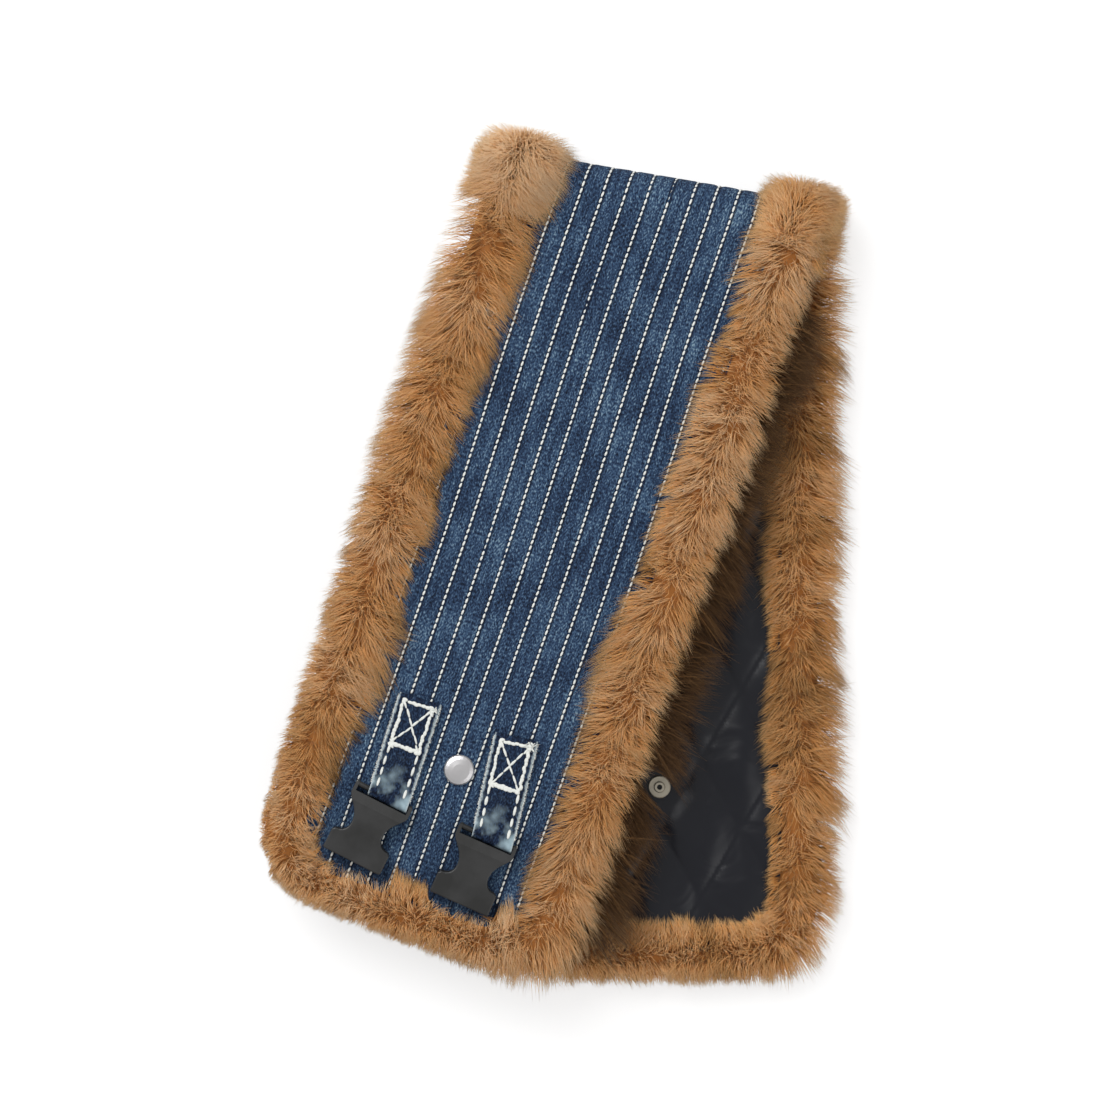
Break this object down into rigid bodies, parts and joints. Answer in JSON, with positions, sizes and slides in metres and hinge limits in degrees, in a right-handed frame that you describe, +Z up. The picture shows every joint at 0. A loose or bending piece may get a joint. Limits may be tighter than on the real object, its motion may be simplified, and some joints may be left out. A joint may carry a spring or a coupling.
{
  "type": "hand warmer muff",
  "caption": "Quilted denim band bound in long fur and folded once, with side-release buckle halves on sewn loop straps and a press snap.",
  "frame": {"origin": "middle of the folded muff's outline, on the surface that it lies on", "axes": "+Z up off that surface, +Y along the front half from its free end towards the fold, +X to the right across the front half"},
  "size_m": [0.3224, 0.4706, 0.0546],
  "materials": {
    "fur": "long golden-brown pile",
    "denim": "washed indigo twill with white stitched pinstripes",
    "wadding": "loose polyester wadding",
    "satin": "dark navy satin, diamond quilted",
    "strap_denim": "dark denim, bleached in patches, frayed edges",
    "acetal": "moulded, fine matte grain",
    "pale_nickel": "pale satin nickel plate",
    "antique_nickel": "antique nickel plate",
    "spring_steel": "bright spring wire"
  },
  "bodies": {
    "rear_half": {"rear_denim_shell": "denim", "rear_wadding": "wadding", "rear_quilted_lining": "satin", "rear_fur_left": "fur", "rear_fur_right": "fur", "rear_fur_end": "fur", "rear_strap_left": "strap_denim", "rear_strap_right": "strap_denim", "snap_stud": "antique_nickel", "snap_post": "antique_nickel"},
    "front_half": {"front_denim_shell": "denim", "front_wadding": "wadding", "front_quilted_lining": "satin", "front_fur_left": "fur", "front_fur_right": "fur", "front_fur_end": "fur", "front_strap_left": "strap_denim", "front_strap_right": "strap_denim", "snap_cap": "pale_nickel", "snap_socket": "antique_nickel", "snap_spring_ring": "spring_steel"},
    "socket_left": {"buckle_socket_left": "acetal"},
    "socket_right": {"buckle_socket_right": "acetal"},
    "plug_left": {"buckle_plug_left": "acetal"},
    "plug_right": {"buckle_plug_right": "acetal"},
    "plug_left_arm_left": {"plug_left_arm_left": "acetal"},
    "plug_left_arm_right": {"plug_left_arm_right": "acetal"},
    "plug_right_arm_left": {"plug_right_arm_left": "acetal"},
    "plug_right_arm_right": {"plug_right_arm_right": "acetal"}
  },
  "joints": [
    {"name": "fold", "type": "hinge", "parent": "rear_half", "child": "front_half", "pos_m": [-0.06653, 0.22166, 0.02665], "axis": [-0.9857, -0.1685, 0], "range_deg": [0, 180]},
    {"name": "socket_left_swing", "type": "hinge", "parent": "front_half", "child": "socket_left", "pos_m": [-0.0946, -0.1607, 0.05], "axis": [-0.9914, 0.1305, 0], "range_deg": [0, 100]},
    {"name": "socket_right_swing", "type": "hinge", "parent": "front_half", "child": "socket_right", "pos_m": [-0.03333, -0.163, 0.05], "axis": [-0.9968, 0.0802, 0], "range_deg": [0, 100]},
    {"name": "plug_left_swing", "type": "hinge", "parent": "rear_half", "child": "plug_left", "pos_m": [0.02969, -0.14137, 0.0045], "axis": [0.9432, 0.3322, 0], "range_deg": [0, 100]},
    {"name": "plug_right_swing", "type": "hinge", "parent": "rear_half", "child": "plug_right", "pos_m": [0.08645, -0.12125, 0.0045], "axis": [0.9178, 0.3971, 0], "range_deg": [0, 100]},
    {"name": "plug_left_arm_left_squeeze", "type": "hinge", "parent": "plug_left", "child": "plug_left_arm_left", "pos_m": [0.02496, -0.16106, 0.0045], "axis": [0, 0, 1], "range_deg": [0, 8], "stiffness_Nm_per_rad": 0.02},
    {"name": "plug_left_arm_right_squeeze", "type": "hinge", "parent": "plug_left", "child": "plug_left_arm_right", "pos_m": [0.04571, -0.15375, 0.0045], "axis": [0, 0, -1], "range_deg": [0, 8], "stiffness_Nm_per_rad": 0.02},
    {"name": "plug_right_arm_left_squeeze", "type": "hinge", "parent": "plug_right", "child": "plug_right_arm_left", "pos_m": [0.08311, -0.14122, 0.0045], "axis": [0, 0, 1], "range_deg": [0, 8], "stiffness_Nm_per_rad": 0.02},
    {"name": "plug_right_arm_right_squeeze", "type": "hinge", "parent": "plug_right", "child": "plug_right_arm_right", "pos_m": [0.1033, -0.13249, 0.0045], "axis": [0, 0, -1], "range_deg": [0, 8], "stiffness_Nm_per_rad": 0.02}
  ]
}
